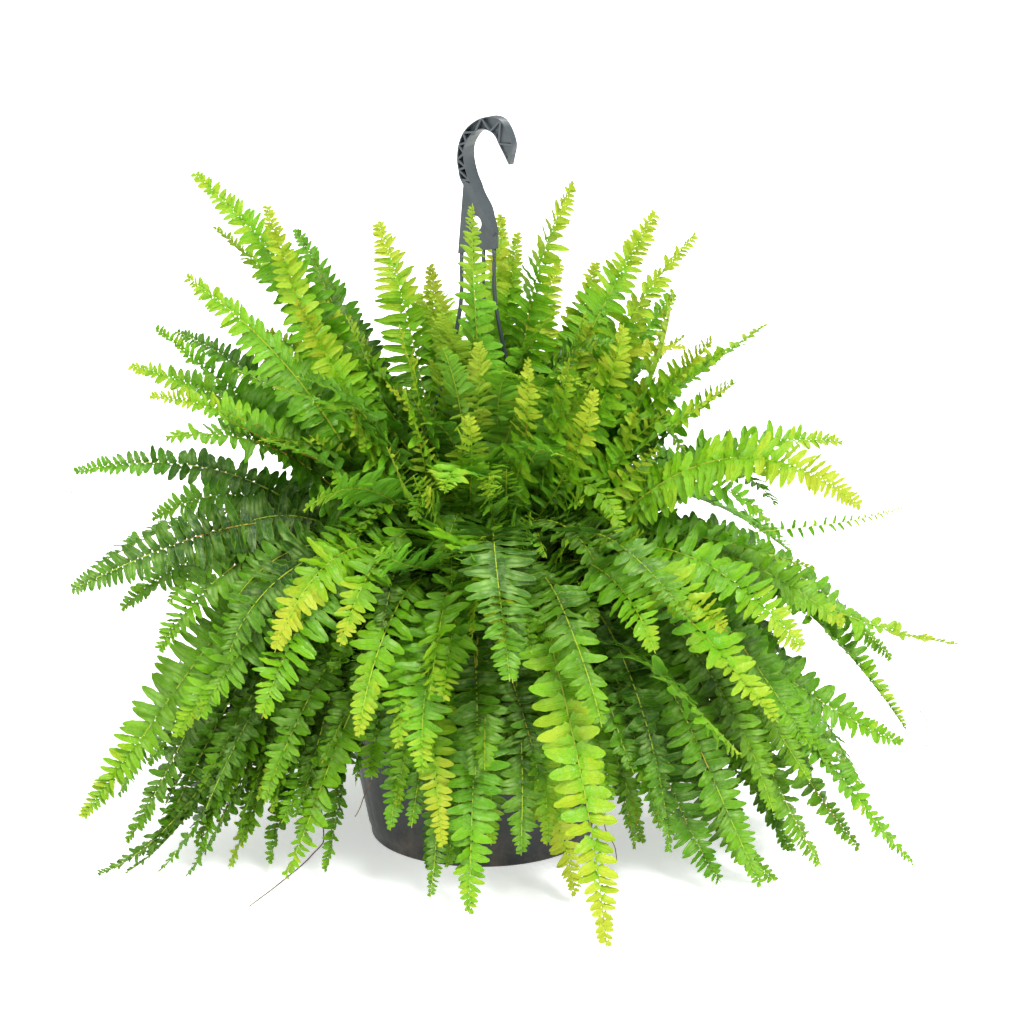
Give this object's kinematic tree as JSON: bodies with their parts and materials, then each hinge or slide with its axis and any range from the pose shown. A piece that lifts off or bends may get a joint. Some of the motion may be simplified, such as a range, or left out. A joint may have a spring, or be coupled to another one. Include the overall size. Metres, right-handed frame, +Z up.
{
  "type": "potted fern",
  "caption": "Full arching fern with long feathery fronds in a round plastic hanging pot with a hooked hanger, standing on the pot's base.",
  "frame": {"origin": "centre of the pot's flat underside", "axes": "+Z up along the pot's axis; -Y is the side the hook's ribbed face looks towards"},
  "size_m": [0.7207, 0.6064, 0.6],
  "materials": {
    "pot_plastic": "satin",
    "hanger_plastic": "satin",
    "potting_mix": "matte",
    "crown": "matte",
    "leaf_lower": "satin",
    "leaf_middle": "satin",
    "leaf_upper": "satin"
  },
  "bodies": {
    "root": {"crown": "crown", "frond_inner_01": "leaf_upper", "frond_inner_02": "leaf_upper", "frond_inner_03": "leaf_upper", "frond_inner_04": "leaf_upper", "frond_inner_05": "leaf_upper", "frond_inner_06": "leaf_upper", "frond_middle_01": "leaf_middle", "frond_middle_02": "leaf_middle", "frond_middle_03": "leaf_middle", "frond_middle_04": "leaf_middle", "frond_middle_05": "leaf_middle", "frond_middle_06": "leaf_middle", "frond_middle_07": "leaf_middle", "frond_middle_08": "leaf_middle", "frond_middle_09": "leaf_middle", "frond_middle_10": "leaf_middle", "frond_middle_11": "leaf_middle", "frond_middle_12": "leaf_middle", "frond_middle_13": "leaf_middle", "frond_middle_14": "leaf_middle", "frond_middle_15": "leaf_middle", "frond_skirt_01": "leaf_lower", "frond_skirt_02": "leaf_lower", "frond_skirt_03": "leaf_lower", "frond_skirt_04": "leaf_lower", "frond_skirt_05": "leaf_lower", "frond_skirt_06": "leaf_lower", "frond_skirt_07": "leaf_lower", "frond_skirt_08": "leaf_lower", "frond_skirt_09": "leaf_lower", "frond_skirt_10": "leaf_lower", "frond_skirt_11": "leaf_lower", "frond_skirt_12": "leaf_lower", "frond_skirt_13": "leaf_lower", "frond_skirt_14": "leaf_lower", "frond_skirt_15": "leaf_lower", "frond_skirt_16": "leaf_lower", "frond_skirt_17": "leaf_lower", "frond_skirt_18": "leaf_lower", "frond_skirt_19": "leaf_lower", "frond_upper_01": "leaf_upper", "frond_upper_02": "leaf_upper", "frond_upper_03": "leaf_upper", "frond_upper_04": "leaf_upper", "frond_upper_05": "leaf_upper", "frond_upper_06": "leaf_upper", "frond_upper_07": "leaf_upper", "frond_upper_08": "leaf_upper", "frond_upper_09": "leaf_upper", "frond_upper_10": "leaf_upper", "frond_upper_11": "leaf_upper", "hanger_hook": "hanger_plastic", "hanger_strand_back": "hanger_plastic", "hanger_strand_front": "hanger_plastic", "hanger_strand_left": "hanger_plastic", "hanger_strand_right": "hanger_plastic", "pot": "pot_plastic", "potting_mix": "potting_mix"}
  },
  "joints": []
}
